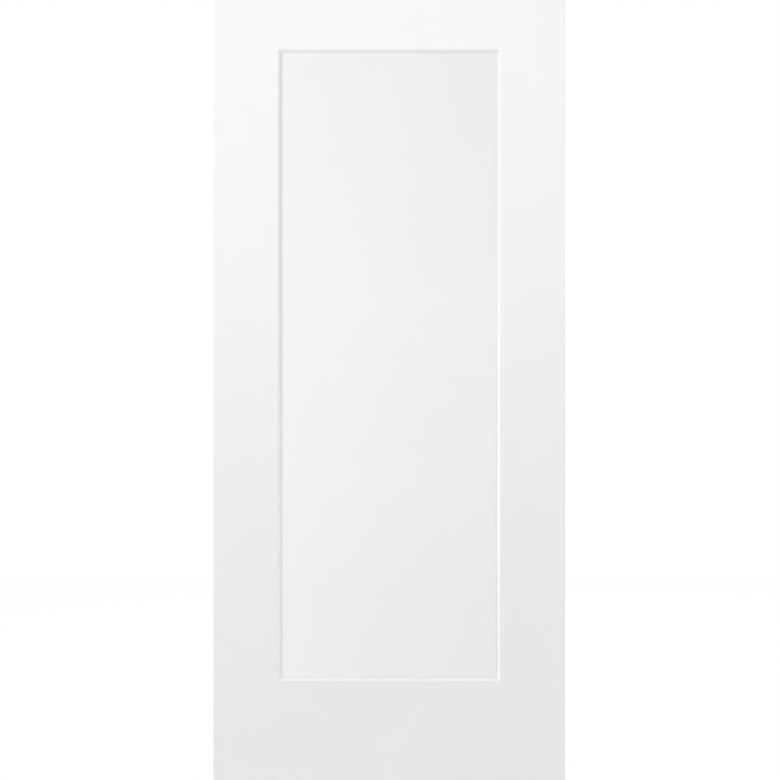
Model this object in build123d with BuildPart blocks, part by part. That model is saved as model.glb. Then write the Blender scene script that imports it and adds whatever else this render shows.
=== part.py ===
from build123d import *
import os
from math import atan2, tan

# One-panel moulded door slab, in mm. The hinge edge is the plane x = 0, the bottom edge is z = 0, and
# y = 0 is mid-thickness, with the front face towards -Y.

# Slab
DOOR_WIDTH = 914.4
DOOR_HEIGHT = 2032.0
DOOR_THICKNESS = 34.9

# Pressed facing: margins are measured to the sharp corner where the face turns into the sticking
FACING_THICKNESS = 3.2
SIDE_MARGIN = 166.5
TOP_MARGIN = 128.0
BOTTOM_MARGIN = 258.0
PANEL_RECESS = 8.0
STICKING_RUN = 10.0
ARRIS_INNER_RADIUS = 0.8
ROOT_RADIUS = 1.2
EDGE_EASE = 1.5
# flat strip beside each bend that is swept along with the sticking
BEND_LAND = 12.0

# Timber edge frame
STILE_WIDTH = 32.0
RAIL_WIDTH = 32.0

FACE_Y = DOOR_THICKNESS / 2
TIMBER_Y = FACE_Y - FACING_THICKNESS
PANEL_Y = FACE_Y - PANEL_RECESS
SHEET_BACK_Y = PANEL_Y - FACING_THICKNESS
# a sheet of even thickness turns its back this far outside its front at each bend
BEND_SHIFT = FACING_THICKNESS * tan(atan2(PANEL_RECESS, STICKING_RUN) / 2)
OPENING_LEFT = SIDE_MARGIN
OPENING_RIGHT = DOOR_WIDTH - SIDE_MARGIN
OPENING_BOTTOM = BOTTOM_MARGIN
OPENING_TOP = DOOR_HEIGHT - TOP_MARGIN
OPENING_WIDTH = OPENING_RIGHT - OPENING_LEFT
OPENING_HEIGHT = OPENING_TOP - OPENING_BOTTOM
OPENING_CENTRE = (DOOR_WIDTH / 2, (OPENING_BOTTOM + OPENING_TOP) / 2)
SLAB_CENTRE = (DOOR_WIDTH / 2, DOOR_HEIGHT / 2)
CORE_WIDTH = DOOR_WIDTH - 2 * STILE_WIDTH
CORE_HEIGHT = DOOR_HEIGHT - 2 * RAIL_WIDTH

# Plane.XZ has its normal towards -Y, so a sketch on these planes reads as seen from the front
face_plane = Plane.XZ.offset(FACE_Y)
panel_plane = Plane.XZ.offset(PANEL_Y)
# across the sticking at the left side of the opening: X is inwards over the panel, Y is depth from the face
section_plane = Plane(
    origin=(OPENING_LEFT, -FACE_Y, OPENING_CENTRE[1]),
    x_dir=(1, 0, 0),
    z_dir=(0, 0, 1),
)

os.makedirs("parts", exist_ok=True)


def sheet_front():
    return FilletPolyline(
        (-BEND_LAND, 0),
        (0, 0),
        (STICKING_RUN, PANEL_RECESS),
        (STICKING_RUN + BEND_LAND, PANEL_RECESS),
        radius=[ARRIS_INNER_RADIUS + FACING_THICKNESS, ROOT_RADIUS],
    )


def sheet_back():
    return FilletPolyline(
        (-BEND_LAND, FACING_THICKNESS),
        (-BEND_SHIFT, FACING_THICKNESS),
        (STICKING_RUN - BEND_SHIFT, PANEL_RECESS + FACING_THICKNESS),
        (STICKING_RUN + BEND_LAND, PANEL_RECESS + FACING_THICKNESS),
        radius=[ARRIS_INNER_RADIUS, ROOT_RADIUS + FACING_THICKNESS],
    )


# Front facing: one hardboard sheet pressed over a die. Its section across the sticking, with two bends and
# an even thickness, is swept round the opening with mitred corners. The flat margins and the flat panel
# join on to it.
with BuildPart() as front_facing:
    with BuildLine(face_plane) as opening_loop:
        Polyline(
            (OPENING_LEFT, OPENING_CENTRE[1]),
            (OPENING_LEFT, OPENING_TOP),
            (OPENING_RIGHT, OPENING_TOP),
            (OPENING_RIGHT, OPENING_BOTTOM),
            (OPENING_LEFT, OPENING_BOTTOM),
            close=True,
        )
    with BuildSketch(section_plane) as sheet_section:
        with BuildLine():
            front = sheet_front()
            back = sheet_back()
            Line(front @ 0, back @ 0)
            Line(front @ 1, back @ 1)
        make_face()
    sweep(path=opening_loop.wire(), transition=Transition.RIGHT)
    with BuildSketch(face_plane) as margins:
        with Locations(SLAB_CENTRE):
            Rectangle(DOOR_WIDTH, DOOR_HEIGHT)
        with Locations(OPENING_CENTRE):
            Rectangle(
                OPENING_WIDTH + 2 * BEND_LAND,
                OPENING_HEIGHT + 2 * BEND_LAND,
                mode=Mode.SUBTRACT,
            )
    extrude(amount=-FACING_THICKNESS)
    with BuildSketch(panel_plane) as panel:
        with Locations(OPENING_CENTRE):
            Rectangle(
                OPENING_WIDTH - 2 * (STICKING_RUN + BEND_LAND),
                OPENING_HEIGHT - 2 * (STICKING_RUN + BEND_LAND),
            )
    extrude(amount=-FACING_THICKNESS)
    face_side = front_facing.faces().sort_by(Axis.Y)[0]
    fillet(face_side.outer_wire().edges(), radius=EDGE_EASE)
front_facing.part.label = "front_facing"
export_step(front_facing.part, "parts/front_facing.step")

# Back facing: the same pressing, turned over
with BuildPart() as back_facing:
    mirror(front_facing.part, about=Plane.XZ)
back_facing.part.label = "back_facing"
export_step(back_facing.part, "parts/back_facing.step")

# Stiles: full-height timbers whose outer faces are the slab's long edges
with BuildPart() as hinge_stile:
    with BuildSketch(Plane.XY):
        with Locations((STILE_WIDTH / 2, 0)):
            Rectangle(STILE_WIDTH, 2 * TIMBER_Y)
    extrude(amount=DOOR_HEIGHT)
hinge_stile.part.label = "hinge_stile"
export_step(hinge_stile.part, "parts/hinge_stile.step")

with BuildPart() as lock_stile:
    with BuildSketch(Plane.XY):
        with Locations((DOOR_WIDTH - STILE_WIDTH / 2, 0)):
            Rectangle(STILE_WIDTH, 2 * TIMBER_Y)
    extrude(amount=DOOR_HEIGHT)
lock_stile.part.label = "lock_stile"
export_step(lock_stile.part, "parts/lock_stile.step")

# Rails: cut between the stiles and flush with the ends of the slab
with BuildPart() as bottom_rail:
    with BuildSketch(Plane.XY):
        with Locations((DOOR_WIDTH / 2, 0)):
            Rectangle(CORE_WIDTH, 2 * TIMBER_Y)
    extrude(amount=RAIL_WIDTH)
bottom_rail.part.label = "bottom_rail"
export_step(bottom_rail.part, "parts/bottom_rail.step")

with BuildPart() as top_rail:
    with BuildSketch(Plane.XY.offset(DOOR_HEIGHT - RAIL_WIDTH)):
        with Locations((DOOR_WIDTH / 2, 0)):
            Rectangle(CORE_WIDTH, 2 * TIMBER_Y)
    extrude(amount=RAIL_WIDTH)
top_rail.part.label = "top_rail"
export_step(top_rail.part, "parts/top_rail.step")

# Core: a board that fills the edge frame, thinner behind the panels. Its slopes are swept from the line of
# the sheets' backs, so that both facings seat on it all over, bends included.
with BuildPart() as core:
    with BuildSketch(section_plane) as slope_section:
        with BuildLine():
            near = sheet_back()
            far = mirror(near, about=Plane.XZ.offset(-FACE_Y))
            Line(near @ 0, far @ 0)
            Line(near @ 1, far @ 1)
        make_face()
    sweep(path=opening_loop.wire(), transition=Transition.RIGHT)
    with BuildSketch(Plane.XZ) as core_margins:
        with Locations(SLAB_CENTRE):
            Rectangle(CORE_WIDTH, CORE_HEIGHT)
        with Locations(OPENING_CENTRE):
            Rectangle(
                OPENING_WIDTH + 2 * BEND_LAND,
                OPENING_HEIGHT + 2 * BEND_LAND,
                mode=Mode.SUBTRACT,
            )
    extrude(amount=TIMBER_Y, both=True)
    with BuildSketch(Plane.XZ) as web:
        with Locations(OPENING_CENTRE):
            Rectangle(
                OPENING_WIDTH - 2 * (STICKING_RUN + BEND_LAND),
                OPENING_HEIGHT - 2 * (STICKING_RUN + BEND_LAND),
            )
    extrude(amount=SHEET_BACK_Y, both=True)
core.part.label = "core"
export_step(core.part, "parts/core.step")
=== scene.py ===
import math

import bmesh
import bpy
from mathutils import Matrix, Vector


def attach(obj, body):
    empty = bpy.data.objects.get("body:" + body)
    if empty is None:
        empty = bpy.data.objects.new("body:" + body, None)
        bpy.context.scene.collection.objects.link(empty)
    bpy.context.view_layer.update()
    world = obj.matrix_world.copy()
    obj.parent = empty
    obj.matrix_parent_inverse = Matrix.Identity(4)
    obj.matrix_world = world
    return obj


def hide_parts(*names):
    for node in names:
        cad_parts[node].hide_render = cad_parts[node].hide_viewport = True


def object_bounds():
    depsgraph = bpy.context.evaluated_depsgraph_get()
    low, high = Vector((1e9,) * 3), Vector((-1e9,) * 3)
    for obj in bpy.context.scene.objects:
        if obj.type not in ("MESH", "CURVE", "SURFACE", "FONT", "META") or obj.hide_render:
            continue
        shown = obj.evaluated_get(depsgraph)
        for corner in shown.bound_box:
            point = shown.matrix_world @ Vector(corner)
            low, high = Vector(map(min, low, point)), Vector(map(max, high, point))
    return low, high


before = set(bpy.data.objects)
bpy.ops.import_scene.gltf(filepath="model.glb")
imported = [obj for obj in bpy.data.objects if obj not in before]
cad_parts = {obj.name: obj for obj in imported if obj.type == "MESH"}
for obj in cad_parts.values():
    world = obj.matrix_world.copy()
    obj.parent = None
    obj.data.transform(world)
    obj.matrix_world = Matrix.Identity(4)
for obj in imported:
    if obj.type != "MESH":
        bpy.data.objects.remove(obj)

cad_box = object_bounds()

# Core: the board that fills the slab, pressed from wood chips and resin and planed flat. It is glued
# between the two sheets and doesn't show on the finished door.
CHIP_SIZE = 0.004
CHIP_RELIEF = 0.0001
CHIP_PALE = "C9A97C"
CHIP_DARK = "8C6A45"


def srgb(hex_code):
    """An sRGB hex colour as the linear colour that a shader takes."""
    channels = [int(hex_code[i:i + 2], 16) / 255 for i in (0, 2, 4)]
    linear = [c / 12.92 if c <= 0.04045 else ((c + 0.055) / 1.055) ** 2.4 for c in channels]
    return (*linear, 1.0)


def add_node(tree, kind, inputs=None, **settings):
    """Add a node to a tree with its settings, fixed inputs and links."""
    made = tree.nodes.new(kind)
    for name, value in settings.items():
        setattr(made, name, value)
    for socket, value in (inputs or {}).items():
        if isinstance(value, bpy.types.NodeSocket):
            tree.links.new(value, made.inputs[socket])
        else:
            made.inputs[socket].default_value = value
    return made


# Particle board: dull, dry chips in two browns with a slightly rough sawn face
particle_board = bpy.data.materials.new("particle_board")
particle_board.use_nodes = True
tree = particle_board.node_tree
tree.nodes.clear()
place = add_node(tree, "ShaderNodeTexCoord").outputs["Object"]
chips = add_node(tree, "ShaderNodeTexVoronoi", {"Vector": place, "Scale": 1 / CHIP_SIZE})
chip_colour = add_node(
    tree,
    "ShaderNodeMix",
    {0: chips.outputs["Color"], 6: srgb(CHIP_PALE), 7: srgb(CHIP_DARK)},
    data_type="RGBA",
)
chip_bump = add_node(
    tree, "ShaderNodeBump", {"Height": chips.outputs["Distance"], "Distance": CHIP_RELIEF}
)
board = add_node(
    tree,
    "ShaderNodeBsdfPrincipled",
    {"Base Color": chip_colour.outputs[2], "Roughness": 0.8, "Normal": chip_bump.outputs["Normal"]},
)
add_node(tree, "ShaderNodeOutputMaterial", {"Surface": board.outputs[0]})
bpy.data.objects["core"].material_slots[0].material = particle_board

# Stiles: the upright timbers of the edge frame, finger-jointed from short lengths of pine and glued
# between the sheets. Their long edges are primed with the faces, and their sawn ends are left bare.
SLAB_WIDTH = cad_box[1][0]
SLAB_HEIGHT = cad_box[1][2]
FACE_Y = cad_box[1][1]
RING_SPACING = 0.0032
RING_WAVER = 0.004
WAVER_LENGTH = 0.3
WAVER_WIDTH = 0.03
PITH_SPREAD = (0.06, 0.05, 0.0)
PITH_START = (-0.05, -0.025, 0.0)
PITH_REACH = 0.05
FIBRE_LENGTH = 0.02
FIBRE_WIDTH = 0.0005
GRAIN_RELIEF = 0.00004
BLOCK_LENGTH = 0.42
BLOCK_SWAY = 0.06
BLOCK_SWAY_RATE = 4.3
FINGER_PITCH = 0.0065
FINGER_LENGTH = 0.01
GLUE_LINE = 0.0004
PRIMER_SPECK = 0.0015
RAGGED_END = 0.0012
MIST_DEPTH = 0.012
EARLY_WOOD = "E4C99C"
LATE_WOOD = "C39A66"
GLUE_BROWN = "8F6B45"
EDGE_PRIMER = "EDEDEC"


def pine_timber(name, along, primed):
    """Finger-jointed pine as a solid texture: rings about a pith that differs in each block."""
    material = bpy.data.materials.new(name)
    material.use_nodes = True
    tree = material.node_tree
    tree.nodes.clear()
    place = add_node(tree, "ShaderNodeTexCoord").outputs["Object"]
    axes = add_node(tree, "ShaderNodeSeparateXYZ", {"Vector": place}).outputs
    run = axes[along]
    rise = axes["X" if along == "Z" else "Z"]
    depth = axes["Y"]

    # Blocks of uneven length that end in zigzag fingers
    fingers = add_node(tree, "ShaderNodeMath", {0: depth, 1: FINGER_PITCH / 2}, operation="PINGPONG")
    sway = add_node(tree, "ShaderNodeMath", {0: run, 1: BLOCK_SWAY_RATE}, operation="MULTIPLY")
    sway = add_node(tree, "ShaderNodeMath", {0: sway.outputs[0]}, operation="SINE")
    shifted = add_node(
        tree, "ShaderNodeMath", {0: sway.outputs[0], 1: BLOCK_SWAY, 2: run}, operation="MULTIPLY_ADD"
    )
    zigzag = add_node(
        tree,
        "ShaderNodeMath",
        {0: fingers.outputs[0], 1: 2 * FINGER_LENGTH / FINGER_PITCH, 2: shifted.outputs[0]},
        operation="MULTIPLY_ADD",
    )
    blocks = add_node(tree, "ShaderNodeMath", {0: zigzag.outputs[0], 1: BLOCK_LENGTH}, operation="DIVIDE")
    block = add_node(tree, "ShaderNodeMath", {0: blocks.outputs[0]}, operation="FLOOR")
    to_joint = add_node(tree, "ShaderNodeMath", {0: blocks.outputs[0], 1: 0.5}, operation="PINGPONG")
    joint = add_node(
        tree,
        "ShaderNodeMapRange",
        {
            "Value": to_joint.outputs[0],
            "From Min": 0.5 * GLUE_LINE / BLOCK_LENGTH,
            "From Max": GLUE_LINE / BLOCK_LENGTH,
            "To Min": 1.0,
            "To Max": 0.0,
        },
    )
    chance = add_node(tree, "ShaderNodeTexWhiteNoise", {"W": block.outputs[0]}, noise_dimensions="1D")

    # Growth rings: distance from the pith, wavering slowly along the length
    near_rise = add_node(
        tree, "ShaderNodeMath", {0: rise, 1: PITH_REACH, 2: -PITH_REACH}, operation="WRAP"
    )
    across = add_node(tree, "ShaderNodeCombineXYZ", {"X": near_rise.outputs[0], "Y": depth})
    pith = add_node(
        tree,
        "ShaderNodeVectorMath",
        {0: chance.outputs["Color"], 1: PITH_SPREAD, 2: PITH_START},
        operation="MULTIPLY_ADD",
    )
    from_pith = add_node(
        tree, "ShaderNodeVectorMath", {0: across.outputs[0], 1: pith.outputs[0]}, operation="SUBTRACT"
    )
    radius = add_node(tree, "ShaderNodeVectorMath", {0: from_pith.outputs[0]}, operation="LENGTH")
    stretch = (1 / WAVER_WIDTH, 1 / WAVER_WIDTH, 1 / WAVER_LENGTH)
    if along == "X":
        stretch = (1 / WAVER_LENGTH, 1 / WAVER_WIDTH, 1 / WAVER_WIDTH)
    slow = add_node(tree, "ShaderNodeVectorMath", {0: place, 1: stretch}, operation="MULTIPLY")
    waver = add_node(tree, "ShaderNodeTexNoise", {"Vector": slow.outputs[0], "Scale": 1.0, "Detail": 2.0})
    wavy = add_node(
        tree,
        "ShaderNodeMath",
        {0: waver.outputs[0], 1: RING_WAVER, 2: radius.outputs["Value"]},
        operation="MULTIPLY_ADD",
    )
    rings = add_node(tree, "ShaderNodeMath", {0: wavy.outputs[0], 1: RING_SPACING}, operation="DIVIDE")
    ring = add_node(tree, "ShaderNodeMath", {0: rings.outputs[0]}, operation="FRACT")
    late = add_node(
        tree,
        "ShaderNodeMapRange",
        {"Value": ring.outputs[0], "From Min": 0.45, "From Max": 0.95},
        interpolation_type="SMOOTHSTEP",
    )

    # Fibres: fine streaks along the grain
    fine = (1 / FIBRE_WIDTH, 1 / FIBRE_WIDTH, 1 / FIBRE_LENGTH)
    if along == "X":
        fine = (1 / FIBRE_LENGTH, 1 / FIBRE_WIDTH, 1 / FIBRE_WIDTH)
    streaks = add_node(tree, "ShaderNodeVectorMath", {0: place, 1: fine}, operation="MULTIPLY")
    fibres = add_node(
        tree, "ShaderNodeTexNoise", {"Vector": streaks.outputs[0], "Scale": 1.0, "Detail": 3.0}
    )

    grain = add_node(
        tree,
        "ShaderNodeMix",
        {0: late.outputs[0], 6: srgb(EARLY_WOOD), 7: srgb(LATE_WOOD)},
        data_type="RGBA",
    )
    shade = add_node(
        tree,
        "ShaderNodeMapRange",
        {"Value": fibres.outputs[0], "From Min": 0.3, "From Max": 0.7, "To Min": 0.88, "To Max": 1.06},
    )
    tint = add_node(
        tree,
        "ShaderNodeMath",
        {0: chance.outputs["Value"], 1: 0.14, 2: 0.9},
        operation="MULTIPLY_ADD",
    )
    light = add_node(
        tree, "ShaderNodeMath", {0: shade.outputs[0], 1: tint.outputs[0]}, operation="MULTIPLY"
    )
    wood = add_node(
        tree, "ShaderNodeVectorMath", {0: grain.outputs[2], "Scale": light.outputs[0]}, operation="SCALE"
    )
    glued = add_node(
        tree,
        "ShaderNodeMix",
        {0: joint.outputs[0], 6: wood.outputs[0], 7: srgb(GLUE_BROWN)},
        data_type="RGBA",
    )

    # Primer: a full coat on a long edge, which stops at the sawn ends, or a mist beside the sheets
    speck = add_node(
        tree, "ShaderNodeTexNoise", {"Vector": place, "Scale": 1 / PRIMER_SPECK, "Detail": 3.0}
    )
    if primed:
        far_end = add_node(tree, "ShaderNodeMath", {0: SLAB_HEIGHT, 1: run}, operation="SUBTRACT")
        end_gap = add_node(tree, "ShaderNodeMath", {0: run, 1: far_end.outputs[0]}, operation="MINIMUM")
        ragged = add_node(
            tree,
            "ShaderNodeMath",
            {0: speck.outputs[0], 1: -RAGGED_END, 2: end_gap.outputs[0]},
            operation="MULTIPLY_ADD",
        )
        coat = add_node(
            tree,
            "ShaderNodeMapRange",
            {"Value": ragged.outputs[0], "From Min": -0.0003, "From Max": 0.0002},
        )
    else:
        off_centre = add_node(tree, "ShaderNodeMath", {0: depth}, operation="ABSOLUTE")
        misty = add_node(
            tree,
            "ShaderNodeMath",
            {0: speck.outputs[0], 1: MIST_DEPTH, 2: off_centre.outputs[0]},
            operation="MULTIPLY_ADD",
        )
        coat = add_node(
            tree,
            "ShaderNodeMapRange",
            {"Value": misty.outputs[0], "From Min": 0.0175, "From Max": 0.0225, "To Max": 0.75},
        )
    telegraph = add_node(
        tree, "ShaderNodeMath", {0: late.outputs[0], 1: -0.02, 2: 1.0}, operation="MULTIPLY_ADD"
    )
    crease = add_node(
        tree,
        "ShaderNodeMath",
        {0: joint.outputs[0], 1: -0.06, 2: telegraph.outputs[0]},
        operation="MULTIPLY_ADD",
    )
    primer_coat = add_node(
        tree,
        "ShaderNodeVectorMath",
        {0: srgb(EDGE_PRIMER)[:3], "Scale": crease.outputs[0]},
        operation="SCALE",
    )
    colour = add_node(
        tree,
        "ShaderNodeMix",
        {0: coat.outputs[0], 6: glued.outputs[2], 7: primer_coat.outputs[0]},
        data_type="RGBA",
    )
    sheen = add_node(
        tree, "ShaderNodeMapRange", {"Value": coat.outputs[0], "To Min": 0.7, "To Max": 0.45}
    )
    relief = add_node(
        tree,
        "ShaderNodeMath",
        {0: fibres.outputs[0], 1: 0.4, 2: late.outputs[0]},
        operation="MULTIPLY_ADD",
    )
    relief = add_node(
        tree,
        "ShaderNodeMath",
        {0: joint.outputs[0], 1: -1.5, 2: relief.outputs[0]},
        operation="MULTIPLY_ADD",
    )
    bump = add_node(tree, "ShaderNodeBump", {"Height": relief.outputs[0], "Distance": GRAIN_RELIEF})
    timber = add_node(
        tree,
        "ShaderNodeBsdfPrincipled",
        {
            "Base Color": colour.outputs[2],
            "Roughness": sheen.outputs[0],
            "Normal": bump.outputs["Normal"],
        },
    )
    add_node(tree, "ShaderNodeOutputMaterial", {"Surface": timber.outputs[0]})
    return material


# Primed pine: white and smooth, with the rings and the glue lines just telling through the coat
primed_pine = pine_timber("primed_finger_jointed_pine", "Z", True)
for stile in ("hinge_stile", "lock_stile"):
    bpy.data.objects[stile].material_slots[0].material = primed_pine

# Rails: the short timbers across the top and bottom, butted between the stiles. They are trimmed on
# site, so the maker leaves them bare, with only a mist of primer where the faces were sprayed.
# Bare pine: dry yellow-brown grain along the rail, with zigzag joints between blocks
bare_pine = pine_timber("bare_finger_jointed_pine", "X", False)
for rail in ("top_rail", "bottom_rail"):
    bpy.data.objects[rail].material_slots[0].material = bare_pine

# Facings: two sheets of hardboard pressed to a one-panel pattern and glued over the frame and core. Each
# is one skin, so margins, sloped sticking and panel run into each other with no joint, and it comes
# with a coat of white primer.
SHEET_THICKNESS = 0.0032
SIDE_MARGIN = 0.1688
TOP_MARGIN = 0.1308
BOTTOM_MARGIN = 0.259
PANEL_RECESS = 0.008
STICKING_RUN = 0.0076
ARRIS_RADIUS = 0.0022
CREASE_WIDTH = 0.001
CREASE_DEPTH = 0.001
EDGE_EASE = 0.0015
GLUE_CREASE = 0.00025
SMOOTH_ANGLE = math.radians(30)
TOUCH = 1e-5
OPENING_LEFT = SIDE_MARGIN
OPENING_RIGHT = SLAB_WIDTH - SIDE_MARGIN
OPENING_TOP = SLAB_HEIGHT - TOP_MARGIN
OPENING_MIDDLE = (BOTTOM_MARGIN + OPENING_TOP) / 2
PANEL_Y = FACE_Y - PANEL_RECESS
HALF_SLOPE = math.atan2(PANEL_RECESS, STICKING_RUN) / 2


def pick(piece, kind, test):
    """In edit mode, select only the faces or edges whose middle passes the test."""
    mesh = bmesh.from_edit_mesh(piece.data)
    for part in (*mesh.verts, *mesh.edges, *mesh.faces):
        part.select_set(False)
    for part in getattr(mesh, kind):
        middle = sum((corner.co for corner in part.verts), Vector()) / len(part.verts)
        if test(middle):
            part.select_set(True)
    bmesh.update_edit_mesh(piece.data)


def on_outline(middle):
    """Is this point on the outer edge of the slab?"""
    reach_x = min(abs(middle.x), abs(middle.x - SLAB_WIDTH))
    reach_z = min(abs(middle.z), abs(middle.z - SLAB_HEIGHT))
    return min(reach_x, reach_z) < TOUCH


bpy.ops.object.select_all(action="DESELECT")
bpy.ops.mesh.primitive_plane_add(
    size=1, location=(SLAB_WIDTH / 2, -FACE_Y, SLAB_HEIGHT / 2), rotation=(math.pi / 2, 0, 0)
)
front_sheet = bpy.context.object
front_sheet.name = "front_facing_sheet"
front_sheet.scale = (SLAB_WIDTH, SLAB_HEIGHT, 1)
bpy.ops.object.transform_apply(location=True, rotation=True, scale=True)
bpy.ops.object.mode_set(mode="EDIT")

# The flat sheet gets its opening: an even inset whose sides and foot then move to their margins
bpy.ops.mesh.select_mode(type="EDGE")
bpy.ops.mesh.select_all(action="SELECT")
bpy.ops.mesh.inset(thickness=TOP_MARGIN)
pick(front_sheet, "edges", lambda m: abs(m.x - TOP_MARGIN) < TOUCH)
bpy.ops.transform.translate(value=(SIDE_MARGIN - TOP_MARGIN, 0, 0))
pick(front_sheet, "edges", lambda m: abs(m.x - SLAB_WIDTH + TOP_MARGIN) < TOUCH)
bpy.ops.transform.translate(value=(TOP_MARGIN - SIDE_MARGIN, 0, 0))
pick(front_sheet, "edges", lambda m: abs(m.z - TOP_MARGIN) < TOUCH)
bpy.ops.transform.translate(value=(0, 0, BOTTOM_MARGIN - TOP_MARGIN))

# The die pushes the panel in, which leaves the sloped sticking with its mitred corners
bpy.ops.mesh.select_mode(type="FACE")
pick(
    front_sheet,
    "faces",
    lambda m: abs(m.x - SLAB_WIDTH / 2) < TOUCH and abs(m.z - OPENING_MIDDLE) < TOUCH,
)
bpy.ops.mesh.inset(thickness=STICKING_RUN)
bpy.ops.transform.translate(value=(0, PANEL_RECESS, 0))

# The sheet turns over the arris in a tight round bend
bpy.ops.mesh.select_mode(type="EDGE")
pick(
    front_sheet,
    "edges",
    lambda m: abs(m.y + FACE_Y) < TOUCH
    and (
        min(abs(m.x - OPENING_LEFT), abs(m.x - OPENING_RIGHT)) < TOUCH
        or min(abs(m.z - BOTTOM_MARGIN), abs(m.z - OPENING_TOP)) < TOUCH
    ),
)
bpy.ops.mesh.bevel(offset=ARRIS_RADIUS * math.tan(HALF_SLOPE), segments=8, affect="EDGES")
bpy.ops.object.mode_set(mode="OBJECT")
sheet = front_sheet.modifiers.new("sheet", "SOLIDIFY")
sheet.thickness = SHEET_THICKNESS
sheet.offset = -1
sheet.use_even_offset = True
bpy.ops.object.modifier_apply(modifier="sheet")

# At the foot of the sticking the die presses a fine crease round the panel
bpy.ops.object.mode_set(mode="EDIT")
bpy.ops.mesh.select_mode(type="FACE")
pick(
    front_sheet,
    "faces",
    lambda m: abs(m.x - SLAB_WIDTH / 2) < TOUCH
    and abs(m.y + PANEL_Y) < TOUCH
    and abs(m.z - OPENING_MIDDLE) < TOUCH,
)
bpy.ops.mesh.inset(thickness=CREASE_WIDTH / 2)
bpy.ops.transform.translate(value=(0, CREASE_DEPTH, 0))
bpy.ops.mesh.inset(thickness=CREASE_WIDTH / 2)
bpy.ops.transform.translate(value=(0, -CREASE_DEPTH, 0))

# The sanded outer edge, and the hairline where the sheet is glued to the timber
bpy.ops.mesh.select_mode(type="EDGE")
pick(front_sheet, "edges", lambda m: abs(m.y + FACE_Y) < TOUCH and on_outline(m))
bpy.ops.mesh.bevel(offset=EDGE_EASE, segments=5, affect="EDGES")
pick(
    front_sheet, "edges", lambda m: abs(m.y + FACE_Y - SHEET_THICKNESS) < TOUCH and on_outline(m)
)
bpy.ops.mesh.bevel(offset=GLUE_CREASE, segments=1, affect="EDGES")
bpy.ops.object.mode_set(mode="OBJECT")
bpy.ops.object.shade_smooth_by_angle(angle=SMOOTH_ANGLE)
flatten = front_sheet.modifiers.new("flatten", "WEIGHTED_NORMAL")
flatten.keep_sharp = True
bpy.ops.object.modifier_apply(modifier="flatten")

# The back sheet is the same pressing, turned round to face the other way
bpy.ops.object.duplicate()
back_sheet = bpy.context.object
back_sheet.name = "back_facing_sheet"
bpy.ops.transform.rotate(value=math.pi, orient_axis="Z", center_override=(SLAB_WIDTH / 2, 0, 0))
bpy.ops.object.transform_apply(location=True, rotation=True, scale=True)

# Satin primer, sprayed on pressed hardboard: white with a faint orange peel and a soft sheen. Light and
# shade
# are painted into its colour: margins lighter high up and darker low down, sticking lighter low down, and
# the panel darker at its top and towards its right. Brown fibre shows on the sawn ends of the sheet,
# where the coat breaks off in specks.
# Painted light and shade: the margins are painted lighter on the upper part and darker low down
MARGIN_PAINTED_LIGHT_UPPER = "F3F3F3"
MARGIN_PAINTED_SHADE_LOWER = "EEEEF0"
# Painted shade: the panel is painted darker on its upper part than low down
PANEL_PAINTED_SHADE_UPPER = "EBEBEB"
PANEL_PAINTED_LIGHT_LOWER = "F2F2F3"
# Painted light: the sticking is painted lighter low down than on its upper part
STICKING_PAINTED_SHADE_UPPER = "F0F0F0"
STICKING_PAINTED_LIGHT_LOWER = "FAFAFA"
FIBRE_PALE = "94724D"
FIBRE_DARK = "6B4E33"
PAINTED_SHADING_HEIGHTS = (0.55, 1.65)
PANEL_SHADING_HEIGHTS = (1.25, 1.9)
# Painted shade: the panel is painted lighter at its left and darker towards its right
PANEL_SHADING_SPAN = (0.18, 0.74)
PANEL_PAINTED_LIGHT_LEFT = 1.0225
PANEL_PAINTED_SHADE_RIGHT = 0.975
MARGIN_BLEND = (FACE_Y - 0.0012, FACE_Y - 0.0004)
PANEL_BLEND = (PANEL_Y + 0.0003, PANEL_Y + 0.0009)
ORANGE_PEEL = 0.003
PEEL_RELIEF = 0.00003
CLOUD_SIZE = 0.3
FIBRE_GRIT = 0.0006
RAGGED_FIBRE = 0.001

primer = bpy.data.materials.new("satin_white_primer")
primer.use_nodes = True
tree = primer.node_tree
tree.nodes.clear()
place = add_node(tree, "ShaderNodeTexCoord").outputs["Object"]
axes = add_node(tree, "ShaderNodeSeparateXYZ", {"Vector": place}).outputs
off_centre = add_node(tree, "ShaderNodeMath", {0: axes["Y"]}, operation="ABSOLUTE")
on_margin = add_node(
    tree,
    "ShaderNodeMapRange",
    {"Value": off_centre.outputs[0], "From Min": MARGIN_BLEND[0], "From Max": MARGIN_BLEND[1]},
)
off_panel = add_node(
    tree,
    "ShaderNodeMapRange",
    {"Value": off_centre.outputs[0], "From Min": PANEL_BLEND[0], "From Max": PANEL_BLEND[1]},
)
painted_shading_rise = add_node(
    tree,
    "ShaderNodeMapRange",
    {"Value": axes["Z"], "From Min": PAINTED_SHADING_HEIGHTS[0], "From Max": PAINTED_SHADING_HEIGHTS[1]},
    interpolation_type="SMOOTHSTEP",
)
panel_shading_rise = add_node(
    tree,
    "ShaderNodeMapRange",
    {"Value": axes["Z"], "From Min": PANEL_SHADING_HEIGHTS[0], "From Max": PANEL_SHADING_HEIGHTS[1]},
)
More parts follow.
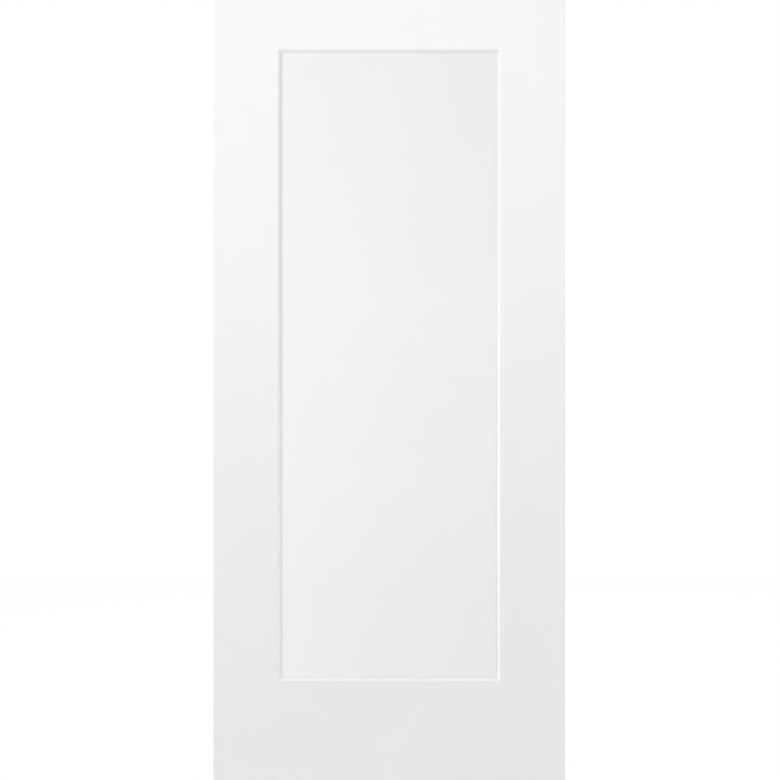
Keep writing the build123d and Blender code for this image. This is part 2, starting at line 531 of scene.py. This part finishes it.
# Painted light and shade: each part's primer colour ramps with height between its painted-light and
# painted-shade copies
margin_painted_shading, sticking_painted_shading, panel_painted_shading = (
    add_node(
        tree,
        "ShaderNodeMix",
        {0: rise.outputs[0], 6: srgb(low), 7: srgb(high)},
        data_type="RGBA",
    )
    for rise, low, high in (
        (painted_shading_rise, MARGIN_PAINTED_SHADE_LOWER, MARGIN_PAINTED_LIGHT_UPPER),
        (painted_shading_rise, STICKING_PAINTED_LIGHT_LOWER, STICKING_PAINTED_SHADE_UPPER),
        (panel_shading_rise, PANEL_PAINTED_LIGHT_LOWER, PANEL_PAINTED_SHADE_UPPER),
    )
)
# Painted shade across the panel: lighter at its left, darker towards its right
panel_painted_shade_across = add_node(
    tree,
    "ShaderNodeMapRange",
    {
        "Value": axes["X"],
        "From Min": PANEL_SHADING_SPAN[0],
        "From Max": PANEL_SHADING_SPAN[1],
        "To Min": PANEL_PAINTED_LIGHT_LEFT,
        "To Max": PANEL_PAINTED_SHADE_RIGHT,
    },
)
panel_shaded_both_ways = add_node(
    tree,
    "ShaderNodeVectorMath",
    {0: panel_painted_shading.outputs[2], "Scale": panel_painted_shade_across.outputs[0]},
    operation="SCALE",
)
raised_painted_shading = add_node(
    tree,
    "ShaderNodeMix",
    {0: on_margin.outputs[0], 6: sticking_painted_shading.outputs[2], 7: margin_painted_shading.outputs[2]},
    data_type="RGBA",
)
primer_painted_shading = add_node(
    tree,
    "ShaderNodeMix",
    {0: off_panel.outputs[0], 6: panel_shaded_both_ways.outputs[0], 7: raised_painted_shading.outputs[2]},
    data_type="RGBA",
)
clouds = add_node(
    tree, "ShaderNodeTexNoise", {"Vector": place, "Scale": 1 / CLOUD_SIZE, "Detail": 3.0}
)
patchy = add_node(
    tree,
    "ShaderNodeMapRange",
    {"Value": clouds.outputs[0], "From Min": 0.3, "From Max": 0.7, "To Min": 0.992, "To Max": 1.006},
)
painted_shading_with_clouds = add_node(
    tree, "ShaderNodeVectorMath", {0: primer_painted_shading.outputs[2], "Scale": patchy.outputs[0]}, operation="SCALE"
)
grit = add_node(tree, "ShaderNodeTexNoise", {"Vector": place, "Scale": 1 / FIBRE_GRIT, "Detail": 4.0})
fibre = add_node(
    tree,
    "ShaderNodeMix",
    {0: grit.outputs[0], 6: srgb(FIBRE_DARK), 7: srgb(FIBRE_PALE)},
    data_type="RGBA",
)
far_end = add_node(tree, "ShaderNodeMath", {0: SLAB_HEIGHT, 1: axes["Z"]}, operation="SUBTRACT")
end_gap = add_node(tree, "ShaderNodeMath", {0: axes["Z"], 1: far_end.outputs[0]}, operation="MINIMUM")
ragged = add_node(
    tree,
    "ShaderNodeMath",
    {0: grit.outputs[0], 1: -RAGGED_FIBRE, 2: end_gap.outputs[0]},
    operation="MULTIPLY_ADD",
)
bare = add_node(
    tree,
    "ShaderNodeMapRange",
    {"Value": ragged.outputs[0], "From Min": -0.0003, "From Max": 0.0001, "To Min": 1.0, "To Max": 0.0},
)
colour = add_node(
    tree,
    "ShaderNodeMix",
    {0: bare.outputs[0], 6: painted_shading_with_clouds.outputs[0], 7: fibre.outputs[2]},
    data_type="RGBA",
)
peel = add_node(tree, "ShaderNodeTexNoise", {"Vector": place, "Scale": 1 / ORANGE_PEEL, "Detail": 2.0})
sheen = add_node(
    tree,
    "ShaderNodeMapRange",
    {"Value": peel.outputs[0], "From Min": 0.3, "From Max": 0.7, "To Min": 0.28, "To Max": 0.36},
)
bump = add_node(
    tree, "ShaderNodeBump", {"Height": peel.outputs[0], "Distance": PEEL_RELIEF, "Strength": 0.6}
)
satin = add_node(
    tree,
    "ShaderNodeBsdfPrincipled",
    {
        "Base Color": colour.outputs[2],
        "Roughness": sheen.outputs[0],
        "IOR": 1.5,
        "Normal": bump.outputs["Normal"],
    },
)
add_node(tree, "ShaderNodeOutputMaterial", {"Surface": satin.outputs[0]})
for sheet_piece, node_name in ((front_sheet, "front_facing"), (back_sheet, "back_facing")):
    sheet_piece.data.materials.append(primer)
    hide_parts(node_name)
    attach(sheet_piece, "root")

# Studio floor: a plain pale sheet that the door stands on. It looks as white as the backdrop and still
# takes a faint shadow.
FLOOR_SIZE = 10.0
FLOOR_GAP = 0.002
FLOOR_WHITE = "FAFAFA"
FLOOR_GLOW = 1.02
GLOW_SHARE = 0.93

bpy.ops.object.select_all(action="DESELECT")
bpy.ops.mesh.primitive_plane_add(size=FLOOR_SIZE, location=(SLAB_WIDTH / 2, 0, -FLOOR_GAP))
floor = bpy.context.object
floor.name = "studio_floor"
bpy.ops.object.transform_apply(location=True, rotation=True, scale=True)
pale_paper = bpy.data.materials.new("pale_backdrop_paper")
pale_paper.use_nodes = True
tree = pale_paper.node_tree
tree.nodes.clear()
rays = add_node(tree, "ShaderNodeLightPath").outputs
seen = add_node(
    tree, "ShaderNodeMath", {0: rays["Is Camera Ray"], 1: rays["Is Glossy Ray"]}, operation="MAXIMUM"
)
whiteness = add_node(tree, "ShaderNodeMath", {0: seen.outputs[0], 1: GLOW_SHARE}, operation="MULTIPLY")
paper = add_node(tree, "ShaderNodeBsdfDiffuse", {"Color": srgb(FLOOR_WHITE)})
glow = add_node(tree, "ShaderNodeEmission", {"Strength": FLOOR_GLOW})
floor_mix = add_node(
    tree, "ShaderNodeMixShader", {0: whiteness.outputs[0], 1: paper.outputs[0], 2: glow.outputs[0]}
)
add_node(tree, "ShaderNodeOutputMaterial", {"Surface": floor_mix.outputs[0]})
floor.data.materials.append(pale_paper)

# Studio light: a white surround, brighter on the camera's side, a far key from the upper left whose grid
# keeps it off the foot of the door, softboxes low at both sides and above, and one behind for the back.
# The surround is plain white to the camera and in reflections.
FRONT_LEVEL = 0.688
BACK_LEVEL = 0.35
FRONT_END = -0.1
BACK_START = 0.3

studio = bpy.data.worlds.new("white_studio")
bpy.context.scene.world = studio
studio.use_nodes = True
tree = studio.node_tree
tree.nodes.clear()
rays = add_node(tree, "ShaderNodeLightPath").outputs
seen = add_node(
    tree, "ShaderNodeMath", {0: rays["Is Camera Ray"], 1: rays["Is Glossy Ray"]}, operation="MAXIMUM"
)
seen = add_node(
    tree, "ShaderNodeMath", {0: seen.outputs[0], 1: rays["Is Transmission Ray"]}, operation="MAXIMUM"
)
heading = add_node(tree, "ShaderNodeTexCoord").outputs["Generated"]
away = add_node(tree, "ShaderNodeSeparateXYZ", {"Vector": heading}).outputs["Y"]
level = add_node(
    tree,
    "ShaderNodeMapRange",
    {
        "Value": away,
        "From Min": FRONT_END,
        "From Max": BACK_START,
        "To Min": FRONT_LEVEL,
        "To Max": BACK_LEVEL,
    },
)
surround = add_node(tree, "ShaderNodeBackground", {"Color": (1, 1, 1, 1), "Strength": level.outputs[0]})
white = add_node(tree, "ShaderNodeBackground", {"Color": (1, 1, 1, 1), "Strength": 1.0})
both = add_node(
    tree, "ShaderNodeMixShader", {0: seen.outputs[0], 1: surround.outputs[0], 2: white.outputs[0]}
)
add_node(tree, "ShaderNodeOutputWorld", {"Surface": both.outputs[0]})


def softbox(name, place, target, width, height, spread, watts):
    """A rectangular lamp at a place, turned to face a target, whose grid keeps its light to a spread."""
    bpy.ops.object.light_add(type="AREA", location=place)
    lamp = bpy.context.object
    lamp.name = name
    lamp.rotation_euler = (Vector(target) - Vector(place)).to_track_quat("-Z", "Y").to_euler()
    lamp.data.shape = "RECTANGLE"
    lamp.data.size = width
    lamp.data.size_y = height
    lamp.data.spread = math.radians(spread)
    lamp.data.energy = watts
    lamp.visible_camera = False


softbox("key_top", (-5.3, -5.8, 5.7), (0.457, 0, 2.0), 2.4, 2.4, 20, 3.42)
softbox("side_low", (-2.5, -1.8, 0.7), (0.457, 0, 0.7), 1.2, 1.2, 180, 26.87)
softbox("right_low", (3.4, -1.8, 0.7), (0.457, 0, 0.7), 1.2, 1.2, 180, 10.25)
softbox("top_front", (0.457, -1.6, 3.2), (0.457, 0, 1.4), 1.2, 0.6, 180, 6.21)
softbox("back_light", (1.6, 3.8, 2.9), (0.457, 0, 1.0), 2.0, 1.5, 180, 70.0)

# Camera: square on to the front face at mid-height, with the door filling the picture from top to bottom
LENS = 85.0
SENSOR = 36.0
VIEW_HEIGHT = 2.0268
VIEW_SHIFT = 0.0022

distance = VIEW_HEIGHT * LENS / SENSOR
bpy.ops.object.camera_add(
    location=(SLAB_WIDTH / 2 + VIEW_SHIFT, -FACE_Y - distance, SLAB_HEIGHT / 2),
    rotation=(math.pi / 2, 0, 0),
)
camera = bpy.context.object
camera.name = "photo_camera"
camera.data.lens = LENS
camera.data.sensor_width = SENSOR
bpy.context.scene.camera = camera
bpy.context.scene.view_settings.view_transform = "Standard"
